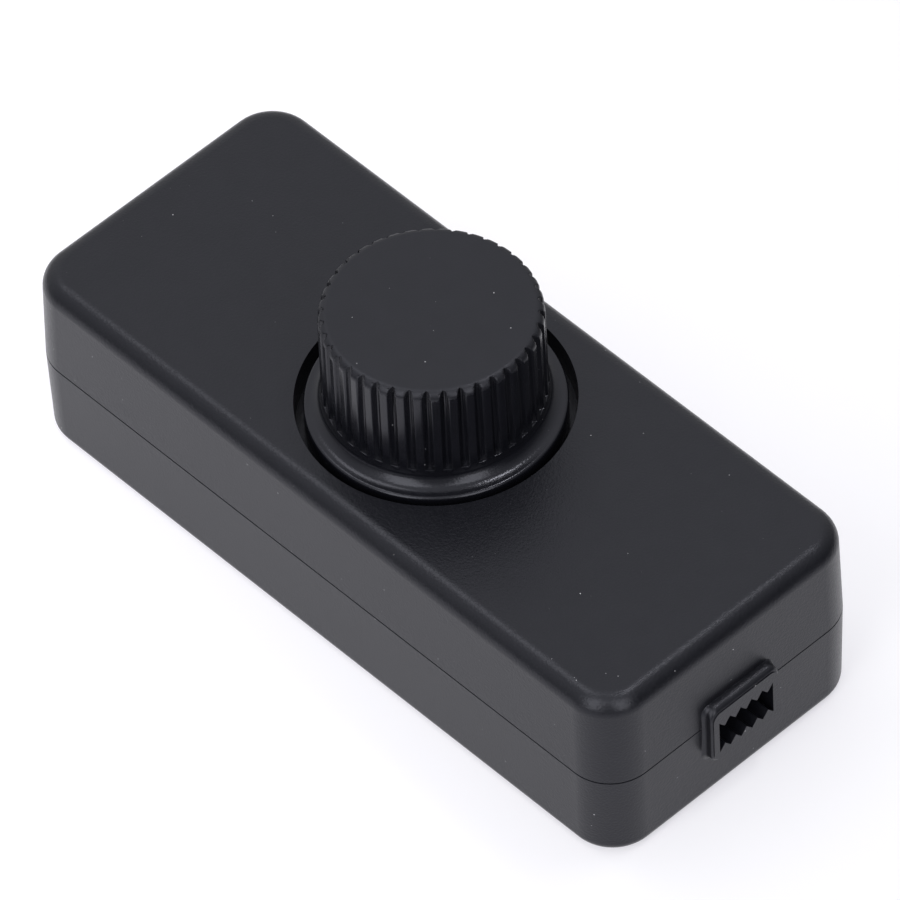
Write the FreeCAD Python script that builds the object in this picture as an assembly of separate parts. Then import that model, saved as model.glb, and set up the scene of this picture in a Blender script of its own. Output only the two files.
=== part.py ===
"""Rotary cord dimmer: a two-shell housing on a flat lamp cord, with a fluted knob in a well on top.

Millimetres. The origin is under the middle of the base, X runs along the cord and Z is up.
"""
import FreeCAD
import Part

import math
import os

Vector = FreeCAD.Vector
ORIGIN = Vector(0, 0, 0)
X_AXIS = Vector(1, 0, 0)
Y_AXIS = Vector(0, 1, 0)
Z_AXIS = Vector(0, 0, 1)
DIAGONAL = Vector(1, 1, 1)
THIRD_TURN = 120
HEXAGON_SIDES = 6
SAME_PLACE = 1e-4

# Housing, with its length and width taken at the seam
case_length = 86.0
case_width = 35.7
case_height = 23.1
seam_height = 11.25
corner_radius = 5.0
draft_degrees = 1.05
top_edge_radius = 2.1
base_edge_radius = 1.4
edge_steps = 5
wall = 2.0
roof_thickness = 2.0
floor_thickness = 2.0
seam_gap = 0.1
lip_length = 56.0
lip_height = 1.4
lip_thickness = 0.8
lip_ledge = 0.2
fit_clearance = 0.1
push_clearance = 0.05

# Cord inlets
slot_width = 7.54
slot_height = 4.5
slot_roof_rise = 0.83
tooth_count = 5
tooth_depth = 0.9
inlet_side = 0.96
inlet_sill = 1.18
inlet_hood = 2.09
inlet_corner = 1.2
inlet_edge = 0.22
inlet_brow = 0.6
inlet_projection = 1.25

# Knob and its well
knob_rise = 13.4
grip_radius = 11.53
grip_taper = 0.07
grip_edge_radius = 1.0
flute_count = 40
flute_depth = 0.6
flute_lean = 0.24
flute_half_angle = 33
flute_start = -0.75
flute_foot_rise = 0.6
flute_overrun = 1.05
flange_width = 1.92
flange_drop = 0.05
rim_radius = 0.36
flare_height = 1.5
rim_steps = 1
flare_steps = 3
grip_edge_steps = 3
knob_wall = 1.6
knob_cap = 2.0
knob_float = 0.8
hub_radius = 5.0
rib_thickness = 1.2
rib_count = 4
well_gap = 0.95
well_depth = 3.7
well_floor = 1.6
well_wall = 1.5

# Case screws and their posts
screw_end_inset = 7.5
screw_side_inset = 5.85
post_size = 6.0
screw_shank_radius = 1.4
screw_head_radius = 2.4
screw_head_height = 1.8
screw_seat = 5.0
screw_length = 13.0
head_clearance = 0.3
shank_clearance = 0.2
pilot_spare = 1.0

# Circuit board and its supports
standoff_height = 3.0
standoff_size = 4.0
clamp_pin_size = 3.0
clamp_inset = 3.0
board_thickness = 1.6
board_side_gap = 1.35
board_end_gap = 1.5
lead_width = 0.6
lead_clearance = 0.15
lead_tail = 1.0

# Potentiometer
shaft_radius = 3.0
shaft_flat = 1.5
shaft_end_gap = 0.3
running_gap = 0.4
neck_radius = 3.5
neck_length = 6.0
nut_across_flats = 10.0
nut_thickness = 2.0
pot_size = 16.0
plate_thickness = 1.0
lug_key_width = 2.4
lug_key_depth = 1.2
lug_key_height = 1.0
lug_key_inset = 1.5
wafer_thickness = 1.2
tongue_width = 14.0
tongue_length = 3.0
terminal_count = 3
terminal_pitch = 5.0
terminal_width = 1.2
terminal_thickness = 0.4
cover_height = 5.0
cover_margin = 0.5
switch_pin_pitch = 5.0
switch_pin_offset = 4.0

# Triac and heat sink
sink_width = 8.6
sink_length = 12.0
sink_thickness = 1.0
sink_fin_height = 7.0
triac_width = 7.2
triac_length = 10.8
triac_thickness = 2.7
triac_offset = 1.5
triac_lead_pitch = 2.3
triac_lead_reach = 2.6
spring_width = 5.0
spring_thickness = 0.5
spring_tail = 3.0

# Capacitors, choke, diac, resistors and fuse
suppressor_length = 10.5
suppressor_width = 5.0
suppressor_height = 8.0
suppressor_pitch = 7.5
suppressor_offset = -4.5
timing_length = 7.2
timing_width = 2.6
timing_height = 6.5
timing_pitch = 5.0
choke_length = 10.0
choke_width = 9.0
choke_height = 8.0
choke_pitch = 7.5
choke_offset = 4.2
diac_length = 4.3
diac_width = 2.6
diac_height = 2.1
diac_offset = 8.0
fuse_length = 8.4
fuse_width = 4.0
fuse_height = 7.6
fuse_pitch = 5.0
resistor_length = 3.2
resistor_width = 1.6
resistor_height = 0.6
resistor_count = 3
resistor_pitch = 4.0
resistor_start = -8.0

# Terminal blocks
block_depth = 7.0
block_width = 6.0
block_height = 9.5
block_setback = 0.3
pole_offset = 3.0
entry_size = 2.6
cage_depth = 4.6
cage_width = 3.6
cage_height = 4.8
cage_floor = 1.0
cage_window_width = 2.2
cage_window_height = 2.4
pin_width = 0.9
terminal_screw_radius = 1.4
terminal_screw_length = 4.0
terminal_screw_slot = 0.5
terminal_screw_slot_depth = 0.7
screw_hole_clearance = 0.3

# Heights and places that follow from the sizes above
slot_roof = seam_height + slot_roof_rise
slot_floor = slot_roof - slot_height
inlet_width = slot_width + 2 * inlet_side
end_x = case_length / 2
upper_edge = seam_height + seam_gap / 2
lower_edge = seam_height - seam_gap / 2
roof = case_height - roof_thickness

flange_radius = grip_radius + flange_width
well_radius = flange_radius + well_gap
well_bed = case_height - well_depth
pot_mount = well_bed - well_floor
knob_top = case_height + knob_rise
knob_base = well_bed + knob_float
flange_top = case_height - flange_drop
flare_width = flange_width - rim_radius
flare_top = flange_top + flare_height
flute_base = flare_top + flute_foot_rise
neck_top = pot_mount + neck_length
hub_base = neck_top + running_gap
shaft_top = knob_top - knob_cap - shaft_end_gap

screw_x = end_x - screw_end_inset
screw_y = case_width / 2 - screw_side_inset
screw_tip = screw_seat + screw_length
screw_spots = [(screw_x, screw_y), (-screw_x, -screw_y)]

board_base = floor_thickness + standoff_height
board_top = board_base + board_thickness
board_x = screw_x - post_size / 2 - board_end_gap
board_y = case_width / 2 - wall - board_side_gap
clamp_x = board_x - clamp_inset
clamp_y = board_y - clamp_inset

pot_half = pot_size / 2
plate_base = pot_mount - plate_thickness
wafer_base = plate_base - wafer_thickness
cover_base = wafer_base - cover_height
shaft_base = plate_base + shaft_end_gap
terminal_y = -(pot_half + tongue_length + terminal_thickness / 2)
strip_y = (pot_half + board_y) / 2

block_x = board_x - block_setback - block_depth / 2
bay_x = (pot_half + block_x - block_depth / 2) / 2
sink_x = bay_x
triac_x = sink_x - sink_thickness / 2
triac_base = board_top + sink_thickness
fin_top = board_top + sink_fin_height
triac_lead_y = triac_offset - triac_length / 2 - triac_lead_reach
suppressor_x = -bay_x
choke_x = -bay_x
cage_top = board_top + cage_height
window_base = board_top + cage_floor
window_top = window_base + cage_window_height

# Where square leads pass through the board
pot_terminal_spots = [(terminal_pitch * (i - (terminal_count - 1) / 2), terminal_y)
                      for i in range(terminal_count)]
switch_spots = [(side * switch_pin_pitch / 2, switch_pin_offset) for side in (-1, 1)]
triac_spots = [(triac_x + i * triac_lead_pitch, triac_lead_y) for i in (-1, 0, 1)]
suppressor_spots = [(suppressor_x + side * suppressor_pitch / 2, suppressor_offset) for side in (-1, 1)]
timing_spots = [(sink_x + side * timing_pitch / 2, -strip_y) for side in (-1, 1)]
choke_spots = [(choke_x + side * choke_pitch / 2, choke_offset) for side in (-1, 1)]
fuse_spots = [(suppressor_x + side * fuse_pitch / 2, -strip_y) for side in (-1, 1)]
pole_spots = [(end * block_x, end * pole_offset) for end in (1, -1)]


def quarter_round(centre, width, height, start_degrees, end_degrees, steps):
    """Points along a quarter round, as radius and z, without its first point."""
    points = []
    for i in range(1, steps + 1):
        angle = math.radians(start_degrees + (end_degrees - start_degrees) * i / steps)
        points.append((centre[0] + width * math.cos(angle), centre[1] + height * math.sin(angle)))
    return points


def box(x0, x1, y0, y1, z0, z1):
    return Part.makeBox(x1 - x0, y1 - y0, z1 - z0, Vector(x0, y0, z0))


def block(x, y, length, width, z0, z1):
    """Upright block, centred on x and y."""
    return box(x - length / 2, x + length / 2, y - width / 2, y + width / 2, z0, z1)


def rod(radius, z0, z1, x=0.0, y=0.0):
    return Part.makeCylinder(radius, z1 - z0, Vector(x, y, z0))


def polygon_face(points):
    return Part.Face(Part.makePolygon(points + points[:1]))


def polygon_prism(points, direction):
    return polygon_face(points).extrude(direction)


def hexagon(across_flats, z0, z1):
    """Upright hexagonal bar on the Z axis."""
    corner = across_flats / math.sqrt(3)
    points = []
    for i in range(HEXAGON_SIDES):
        angle = 2 * math.pi * i / HEXAGON_SIDES
        points.append(Vector(corner * math.cos(angle), corner * math.sin(angle), z0))
    return polygon_prism(points, Z_AXIS * (z1 - z0))


def fuse_all(shapes):
    return shapes[0].multiFuse(shapes[1:]).removeSplitter()


def both_ends(shape):
    """The shape at the +X end, and the same turned round to the -X end."""
    other = shape.copy()
    other.rotate(ORIGIN, Z_AXIS, 180)
    return [shape, other]


def at_corners(x, y):
    return [(sx * x, sy * y) for sx in (-1, 1) for sy in (-1, 1)]


def leads(spots, top, width=lead_width):
    """Square leads that run from a part down through the board."""
    return [block(x, y, width, width, board_base - lead_tail, top) for x, y in spots]


def rounded_rectangle(half_x, half_y, radius, z):
    """Closed outline with rounded corners, counter-clockwise from the lower right corner."""
    edges = []
    centres = [(half_x - radius, radius - half_y), (half_x - radius, half_y - radius),
               (radius - half_x, half_y - radius), (radius - half_x, radius - half_y)]
    for quarter, (x, y) in enumerate(centres):
        turn = math.pi / 2 * (quarter - 1)
        corner = [Vector(x + radius * math.cos(turn + a), y + radius * math.sin(turn + a), z)
                  for a in (0, math.pi / 4, math.pi / 2)]
        next_x, next_y = centres[(quarter + 1) % 4]
        start_next = Vector(next_x + radius * math.cos(turn + math.pi / 2),
                            next_y + radius * math.sin(turn + math.pi / 2), z)
        edges.append(Part.Arc(*corner).toShape())
        edges.append(Part.LineSegment(corner[2], start_next).toShape())
    return Part.Wire(edges)


def case_outline(inset, z):
    """Plan of the housing at its seam, drawn in by an inset, at a height."""
    return rounded_rectangle(end_x - inset, case_width / 2 - inset, corner_radius - inset, z)


def leaning_outline(inset, z):
    """Plan of the housing at a height. Its faces lean in away from the seam."""
    lean = abs(z - seam_height) * math.tan(math.radians(draft_degrees))
    return case_outline(inset + lean, z)


def case_block(z_edge, z_face, edge_radius):
    """Outer form of one shell: sides that lean in from the seam, and a round edge at its outer face."""
    outward = math.copysign(1, z_face - z_edge)
    sections = [leaning_outline(0, z_edge)]
    for i in range(edge_steps + 1):
        angle = math.pi / 2 * i / edge_steps
        z = z_face - outward * edge_radius * (1 - math.sin(angle))
        sections.append(leaning_outline(edge_radius * (1 - math.cos(angle)), z))
    return Part.makeLoft(sections[::int(outward)], True, True)


def seam_prism(inset, z0, z1):
    """Straight block with the plan that the housing has at its seam."""
    return Part.Face(case_outline(inset, z0)).extrude(Z_AXIS * (z1 - z0))


def half_space(z0, z1):
    """Block wider than the housing, between two heights."""
    return block(0, 0, 2 * case_length, 2 * case_width, z0, z1)


def cord_inlet():
    """Rounded boss with a sloped brow at the +X end, from the inner face of the wall outwards."""
    z0 = slot_floor - inlet_sill
    z1 = slot_roof + inlet_hood
    face = Part.Face(rounded_rectangle(inlet_width / 2, (z1 - z0) / 2, inlet_corner, 0))
    face.rotate(ORIGIN, DIAGONAL, THIRD_TURN)
    face.translate(Vector(end_x - wall, 0, (z0 + z1) / 2))
    boss = face.extrude(X_AXIS * (wall + inlet_projection))
    front = end_x + inlet_projection
    rim = [edge for edge in boss.Edges if abs(edge.BoundBox.XMin - front) < SAME_PLACE]
    boss = boss.makeChamfer(inlet_edge, rim)
    brow = [Vector(front - inlet_brow, -inlet_width, z1), Vector(front, -inlet_width, z1),
            Vector(front, -inlet_width, z1 - inlet_brow)]
    return boss.cut(polygon_prism(brow, Y_AXIS * (2 * inlet_width)))


def tooth_line(root_z, tip_z):
    """Row of V teeth across the slot, as y and z of its roots and tips."""
    pitch = slot_width / tooth_count
    points = []
    for i in range(tooth_count):
        root = -slot_width / 2 + i * pitch
        points += [(root, root_z), (root + pitch / 2, tip_z)]
    return points + [(slot_width / 2, root_z)]


def cord_slot(roof_line):
    """Slot through the +X end, from its toothed floor up to the given roof line."""
    floor_line = tooth_line(slot_floor, slot_floor + tooth_depth)
    start = end_x - 2 * wall
    points = [Vector(start, y, z) for y, z in floor_line + roof_line[::-1]]
    return polygon_prism(points, X_AXIS * (3 * wall + inlet_projection))


def lip(side, clearance=0.0):
    """Tongue along one long wall at the seam. A clearance gives the room for it in the other shell."""
    middle = case_width / 2 - wall + lip_ledge + lip_thickness / 2
    return block(0, side * middle, lip_length + 2 * clearance, lip_thickness + 2 * clearance,
                 lower_edge, seam_height + lip_height + clearance)


def upper_shell():
    outer = case_block(upper_edge, case_height, top_edge_radius)
    shell = outer.cut(seam_prism(wall, seam_height, roof))
    shell = shell.cut([lip(side, fit_clearance) for side in (-1, 1)])

    hood = cord_inlet().common(half_space(upper_edge, case_height))
    tooth_bed = box(end_x - wall, end_x + inlet_projection, -slot_width / 2, slot_width / 2,
                    slot_roof - tooth_depth, slot_roof)
    cup = rod(well_radius + well_wall, pot_mount, roof).common(outer)
    pieces = [shell, cup] + both_ends(hood) + both_ends(tooth_bed)
    for x, y in at_corners(screw_x, screw_y):
        pieces.append(block(x, y, post_size, post_size, seam_height, roof))
    for x, y in at_corners(clamp_x, clamp_y):
        pieces.append(block(x, y, clamp_pin_size, clamp_pin_size, board_top, roof))
    shell = fuse_all(pieces)

    key_x = pot_half - lug_key_inset
    cuts = [
        rod(well_radius, well_bed, case_height + wall),
        rod(neck_radius + fit_clearance, pot_mount - wall, well_bed + wall),
        block(key_x, 0, lug_key_depth + 2 * fit_clearance, lug_key_width + 2 * fit_clearance,
              pot_mount - wall, pot_mount + lug_key_height + fit_clearance),
    ]
    pilot_radius = screw_shank_radius + push_clearance
    for x, y in screw_spots:
        cuts.append(rod(pilot_radius, seam_height - wall, screw_tip + pilot_spare, x, y))
    teeth = tooth_line(slot_roof, slot_roof - tooth_depth)
    return shell.cut(cuts + both_ends(cord_slot(teeth)))


def lower_shell():
    outer = case_block(lower_edge, 0, base_edge_radius)
    shell = outer.cut(seam_prism(wall, floor_thickness, seam_height))
    sill = cord_inlet().common(half_space(0, lower_edge))

    pieces = [shell, lip(-1), lip(1)] + both_ends(sill)
    for x, y in at_corners(screw_x, screw_y):
        pieces.append(block(x, y, post_size, post_size, floor_thickness, seam_height))
    for x, y in at_corners(clamp_x, clamp_y):
        pieces.append(block(x, y, standoff_size, standoff_size, floor_thickness, board_base))
    shell = fuse_all(pieces)

    open_top = [(-slot_width / 2, case_height), (slot_width / 2, case_height)]
    cuts = both_ends(cord_slot(open_top))
    for x, y in screw_spots:
        cuts.append(rod(screw_head_radius + head_clearance, -wall, screw_seat, x, y))
        cuts.append(rod(screw_shank_radius + shank_clearance, 0, seam_height + wall, x, y))
    return shell.cut(cuts)


def case_screws():
    screws = []
    head_base = screw_seat - screw_head_height
    for x, y in screw_spots:
        screw = rod(screw_head_radius, head_base, screw_seat, x, y)
        screw = screw.fuse(rod(screw_shank_radius, screw_seat, screw_tip, x, y))
        screws.append(screw)
    return Part.makeCompound(screws)


def knob_body():
    """Turned form of the knob: a skirt rim that flares up into the grip, and a rounded top edge."""
    grip_top = grip_radius - grip_taper
    edge = (grip_top - grip_edge_radius, knob_top - grip_edge_radius)
    rim = (flange_radius - rim_radius, flange_top - rim_radius)
    flare = (grip_radius + flare_width, flare_top)
    outline = [(0, knob_base), (flange_radius, knob_base), (flange_radius, rim[1])]
    outline += quarter_round(rim, rim_radius, rim_radius, 0, 90, rim_steps)
    outline += quarter_round(flare, flare_width, flare_height, 270, 180, flare_steps)
    outline.append((grip_top, edge[1]))
    outline += quarter_round(edge, grip_edge_radius, grip_edge_radius, 0, 90, grip_edge_steps)
    outline.append((0, knob_top))
    return polygon_face([Vector(radius, 0, z) for radius, z in outline]).revolve(ORIGIN, Z_AXIS, 360)


def knob_flutes():
    """V grooves that get deeper up the grip, each ending in a flat three-cornered foot above the flare."""
    root = grip_radius - flute_depth + flute_lean
    reach = 2 * flute_depth
    half_width = reach * math.tan(math.radians(flute_half_angle))
    points = [Vector(root, 0, flute_base), Vector(root + reach, -half_width, flute_base),
              Vector(root + reach, half_width, flute_base)]
    groove = polygon_prism(points, Vector(-flute_lean, 0, knob_top - flute_base) * flute_overrun)
    grooves = []
    for i in range(flute_count):
        copy = groove.copy()
        copy.rotate(ORIGIN, Z_AXIS, flute_start + 360.0 / flute_count * i)
        grooves.append(copy)
    return grooves


def knob_hollow():
    """Space under the knob, left round the hub and its ribs."""
    inner = grip_radius - flute_depth - knob_wall
    ceiling = knob_top - knob_cap
    skirt_ceiling = flange_top - knob_wall
    skirt_space = rod(flange_radius - knob_wall, knob_base, skirt_ceiling)
    space = rod(inner, knob_base, ceiling).fuse(skirt_space)
    keep = [rod(hub_radius, hub_base, knob_top)]
    for i in range(rib_count):
        rib = box(0, flange_radius, -rib_thickness / 2, rib_thickness / 2, hub_base, knob_top)
        rib.rotate(ORIGIN, Z_AXIS, 360.0 / rib_count * (i + 0.5))
        keep.append(rib)
    return space.cut(keep)


def d_section(radius, flat, z0, z1):
    """Round bar with one flat on its +X side."""
    return rod(radius, z0, z1).cut(box(flat, 2 * radius, -2 * radius, 2 * radius, z0, z1))


def knob():
    body = knob_body().cut(knob_flutes())
    bore = d_section(shaft_radius + push_clearance, shaft_flat + push_clearance,
                     hub_base, knob_top - knob_cap)
    return body.cut([knob_hollow(), bore])


def pot_shaft():
    return fuse_all([
        rod(shaft_radius, shaft_base, hub_base),
        d_section(shaft_radius, shaft_flat, hub_base, shaft_top),
    ])


def pot_bushing():
    key_x = pot_half - lug_key_inset
    body = fuse_all([
        block(0, 0, pot_size, pot_size, plate_base, pot_mount),
        rod(neck_radius, pot_mount, neck_top),
        block(key_x, 0, lug_key_depth, lug_key_width, pot_mount, pot_mount + lug_key_height),
    ])
    return body.cut(rod(shaft_radius + push_clearance, plate_base, neck_top))


def pot_nut():
    top = well_bed + nut_thickness
    return hexagon(nut_across_flats, well_bed, top).cut(rod(neck_radius + push_clearance, well_bed, top))


def pot_wafer():
    return fuse_all([
        block(0, 0, pot_size, pot_size, wafer_base, plate_base),
        block(0, -pot_half - tongue_length / 2, tongue_width, tongue_length, wafer_base, plate_base),
    ])


def pot_terminals():
    """Lugs that lie under the wafer's tongue and turn down through the board."""
    lugs = []
    for x, y in pot_terminal_spots:
        flat = box(x - terminal_width / 2, x + terminal_width / 2, y, -pot_half,
                   wafer_base - terminal_thickness, wafer_base)
        leg = block(x, y, terminal_width, terminal_thickness, board_base - lead_tail, wafer_base)
        lugs.append(flat.fuse(leg).removeSplitter())
    return Part.makeCompound(lugs)


def pot_cover():
    """Sealed can over the track, a little smaller than the plate."""
    size = pot_size - 2 * cover_margin
    return block(0, 0, size, size, cover_base, wafer_base)


def switch_case():
    return block(0, 0, pot_size, pot_size, board_top, cover_base)


def switch_terminals():
    return Part.makeCompound(leads(switch_spots, board_top))


def circuit_board():
    board = block(0, 0, 2 * board_x, 2 * board_y, board_base, board_top)
    groups = [
        (switch_spots, lead_width, lead_width), (triac_spots, lead_width, lead_width),
        (suppressor_spots, lead_width, lead_width), (timing_spots, lead_width, lead_width),
        (choke_spots, lead_width, lead_width), (fuse_spots, lead_width, lead_width),
        (pot_terminal_spots, terminal_width, terminal_thickness), (pole_spots, pin_width, pin_width),
    ]
    slack = 2 * lead_clearance
    holes = []
    for spots, length, width in groups:
        for x, y in spots:
            holes.append(block(x, y, length + slack, width + slack, board_base, board_top))
    return board.cut(holes)


def triac_body():
    return block(triac_x, triac_offset, triac_width, triac_length, triac_base, triac_base + triac_thickness)


def triac_leads():
    """Three legs that leave the end of the body and turn down through the board."""
    legs = []
    middle = triac_base + triac_thickness / 2
    body_end = triac_offset - triac_length / 2
    for x, y in triac_spots:
        flat = box(x - lead_width / 2, x + lead_width / 2, y, body_end, middle - lead_width, middle)
        legs.append(flat.fuse(leads([(x, y)], middle)[0]).removeSplitter())
    return Part.makeCompound(legs)


def heat_sink():
    """Angle of sheet metal: a foot under the triac and an upright fin beside it."""
    outer = sink_x + sink_width / 2
    foot = block(sink_x, triac_offset, sink_width, sink_length, board_top, triac_base)
    fin = block(outer - sink_thickness / 2, triac_offset, sink_thickness, sink_length, board_top, fin_top)
    return foot.fuse(fin).removeSplitter()


def heat_sink_spring():
    """Bent strip that hooks over the fin and presses the triac on the foot."""
    y0 = triac_offset - spring_width / 2
    y1 = triac_offset + spring_width / 2
    inner = sink_x + sink_width / 2 - sink_thickness
    outer = inner + sink_thickness
    seat = triac_base + triac_thickness
    return fuse_all([
        box(triac_x - spring_width / 2, inner, y0, y1, seat, seat + spring_thickness),
        box(inner - spring_thickness, inner, y0, y1, seat, fin_top + spring_thickness),
        box(inner - spring_thickness, outer + spring_thickness, y0, y1, fin_top, fin_top + spring_thickness),
        box(outer, outer + spring_thickness, y0, y1, fin_top - spring_tail, fin_top + spring_thickness),
    ])


def boxed_part(x, y, length, width, height, spots):
    """Rectangular moulded body on the board, with its leads below."""
    case = block(x, y, length, width, board_top, board_top + height)
    return fuse_all([case] + leads(spots, board_top))


def suppression_capacitor():
    return boxed_part(suppressor_x, suppressor_offset, suppressor_length, suppressor_width,
                      suppressor_height, suppressor_spots)


def timing_capacitor():
    return boxed_part(sink_x, -strip_y, timing_length, timing_width, timing_height, timing_spots)


def choke():
    return boxed_part(choke_x, choke_offset, choke_length, choke_width, choke_height, choke_spots)


def fuse():
    return boxed_part(suppressor_x, -strip_y, fuse_length, fuse_width, fuse_height, fuse_spots)


def diac():
    return block(diac_offset, strip_y, diac_length, diac_width, board_top, board_top + diac_height)


def resistors():
    chips = []
    for i in range(resistor_count):
        chips.append(block(resistor_start + i * resistor_pitch, strip_y, resistor_width, resistor_length,
                           board_top, board_top + resistor_height))
    return Part.makeCompound(chips)


def terminal_block():
    """Block for the live core at the +X end: a cage pocket below, a core entry and a screw hole."""
    body = block(block_x, pole_offset, block_depth, block_width, board_top, board_top + block_height)
    slack = 2 * fit_clearance
    hole = 2 * (terminal_screw_radius + screw_hole_clearance)
    middle = window_base + cage_window_height / 2
    return body.cut([
        block(block_x, pole_offset, cage_depth + slack, cage_width + slack,
              board_top, cage_top + fit_clearance),
        box(block_x, block_x + block_depth, pole_offset - entry_size / 2, pole_offset + entry_size / 2,
            middle - entry_size / 2, middle + entry_size / 2),
        block(block_x, pole_offset, hole, hole, board_top, board_top + block_height),
    ])


def line_terminal_block():
    return both_ends(terminal_block())[0]


def lamp_terminal_block():
    return both_ends(terminal_block())[1]


def terminal_clamps():
    """Cages with a window for the core, a bore for the screw and a pin through the board."""
    clamps = []
    for x, y in pole_spots:
        cage = block(x, y, cage_depth, cage_width, board_top, cage_top)
        window = block(x, y, cage_depth, cage_window_width, window_base, window_top)
        bore = rod(terminal_screw_radius + push_clearance, window_top, cage_top, x, y)
        clamps.append(fuse_all([cage.cut([window, bore])] + leads([(x, y)], board_top, pin_width)))
    return Part.makeCompound(clamps)


def terminal_screws():
    screws = []
    for x, y in pole_spots:
        top = window_top + terminal_screw_length
        screw = rod(terminal_screw_radius, window_top, top, x, y)
        slot = block(x, y, 2 * terminal_screw_radius, terminal_screw_slot,
                     top - terminal_screw_slot_depth, top)
        screws.append(screw.cut(slot))
    return Part.makeCompound(screws)


makers = (
    lower_shell, upper_shell, knob, case_screws,
    pot_shaft, pot_bushing, pot_nut, pot_wafer, pot_terminals, pot_cover, switch_case, switch_terminals,
    circuit_board, triac_body, triac_leads, heat_sink, heat_sink_spring,
    suppression_capacitor, timing_capacitor, choke, fuse, diac, resistors,
    line_terminal_block, lamp_terminal_block, terminal_clamps, terminal_screws,
)

os.makedirs("parts", exist_ok=True)
for maker in makers:
    shape = maker()
    shape.exportStep(f"parts/{maker.__name__}.step")
    print(maker.__name__, len(shape.Solids), "solids", round(shape.Volume, 2), "mm3", shape.isValid())
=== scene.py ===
# %% [markdown]
# # Dressing a rotary cord dimmer
#
# The object is an in-line dimmer: two black plastic shells that close round a flat lamp cord, with a
# fluted knob in a round well on top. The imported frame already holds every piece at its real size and
# place. This lesson models again, with smooth moulded edges, the pieces that can be seen, and then gives
# every piece its finish. Everything is in metres, in the frame's own axes, so nothing has to be fitted
# afterwards.

# %% Load the frame
import math

import bmesh
import bpy
from mathutils import Matrix, Vector


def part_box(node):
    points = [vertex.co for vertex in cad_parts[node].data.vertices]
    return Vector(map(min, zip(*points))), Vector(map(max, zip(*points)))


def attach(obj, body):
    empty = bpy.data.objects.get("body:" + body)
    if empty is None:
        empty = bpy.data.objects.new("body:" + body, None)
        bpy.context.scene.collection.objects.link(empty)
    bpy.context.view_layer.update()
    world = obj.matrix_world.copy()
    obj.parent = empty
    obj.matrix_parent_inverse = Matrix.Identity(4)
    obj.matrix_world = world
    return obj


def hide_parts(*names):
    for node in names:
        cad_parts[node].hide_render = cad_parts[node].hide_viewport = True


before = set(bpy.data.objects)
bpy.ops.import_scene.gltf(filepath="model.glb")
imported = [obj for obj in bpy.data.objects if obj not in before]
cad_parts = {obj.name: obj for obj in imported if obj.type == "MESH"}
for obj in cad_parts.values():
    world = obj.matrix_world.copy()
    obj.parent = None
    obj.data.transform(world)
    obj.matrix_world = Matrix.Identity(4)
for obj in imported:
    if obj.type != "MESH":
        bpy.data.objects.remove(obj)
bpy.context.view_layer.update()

MM = 0.001
TOUCH = 0.002 * MM
NEARLY = 0.9

# %% [markdown]
# ## A few tools for modelling
#
# By hand, modelling is a round of the same moves: add a primitive, go into edit mode, select by eye,
# bevel or scale, and go back. A script can't select by eye, so it selects by place and direction instead.
# These short functions wrap those moves. An operator acts on everything that is selected, so each one
# starts by clearing the selection, and each primitive has its place moved into its mesh as soon as it is
# added.


# %% Selecting and adding primitives
def select_only(piece):
    bpy.ops.object.select_all(action="DESELECT")
    piece.select_set(True)
    bpy.context.view_layer.objects.active = piece


def settle(name):
    """Names the primitive that was just added and moves its place into its mesh."""
    piece = bpy.context.object
    piece.name = name
    bpy.ops.object.transform_apply(location=True, rotation=True, scale=True)
    return piece


def add_block(name, low, high):
    """A cube that fills the space between two corners."""
    low, high = Vector(low), Vector(high)
    bpy.ops.object.select_all(action="DESELECT")
    bpy.ops.mesh.primitive_cube_add(size=1, location=(low + high) / 2, scale=high - low)
    return settle(name)


def add_post(name, x, y, width, z0, z1):
    """A square post, centred on x and y."""
    half = width / 2
    return add_block(name, (x - half, y - half, z0), (x + half, y + half, z1))


def add_rod(name, radius, z0, z1, x=0, y=0, sides=64):
    """An upright cylinder."""
    bpy.ops.object.select_all(action="DESELECT")
    bpy.ops.mesh.primitive_cylinder_add(
        vertices=sides, radius=radius, depth=z1 - z0, location=(x, y, (z0 + z1) / 2))
    return settle(name)


def pick(piece, kind, test):
    """Enters edit mode with just those vertices ("VERT"), edges or faces selected that pass the test."""
    select_only(piece)
    bpy.ops.object.mode_set(mode="EDIT")
    bpy.ops.mesh.select_mode(type=kind)
    bpy.ops.mesh.select_all(action="DESELECT")
    mesh = bmesh.from_edit_mesh(piece.data)
    parts = {"VERT": mesh.verts, "EDGE": mesh.edges, "FACE": mesh.faces}[kind]
    for part in parts:
        if test(part):
            part.select_set(True)
    mesh.select_flush_mode()
    bmesh.update_edit_mesh(piece.data)


def everything(part):
    """A test that every vertex, edge or face passes."""
    return True


def leave_edit():
    bpy.ops.object.mode_set(mode="OBJECT")


print("tools for selecting and adding are ready")


# %% Bevels, cuts and copies
def runs_along(axis):
    """A test for edges that run along X (0), Y (1) or Z (2), or nearly so."""
    return lambda edge: abs((edge.verts[1].co - edge.verts[0].co).normalized()[axis]) > NEARLY


def looks_along(axis, sign=1):
    """A test for faces that look along X, Y or Z, or the other way where the sign is -1."""
    return lambda face: face.normal[axis] * sign > NEARLY


def lies_at(axis, place):
    """A test for edges that lie in the plane where X, Y or Z has one value."""
    return lambda edge: all(abs(vert.co[axis] - place) < TOUCH for vert in edge.verts)


def bevel_edges(piece, width, segments, test):
    pick(piece, "EDGE", test)
    bpy.ops.mesh.bevel(offset=width, segments=segments, profile=0.5, affect="EDGES")
    leave_edit()


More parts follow.
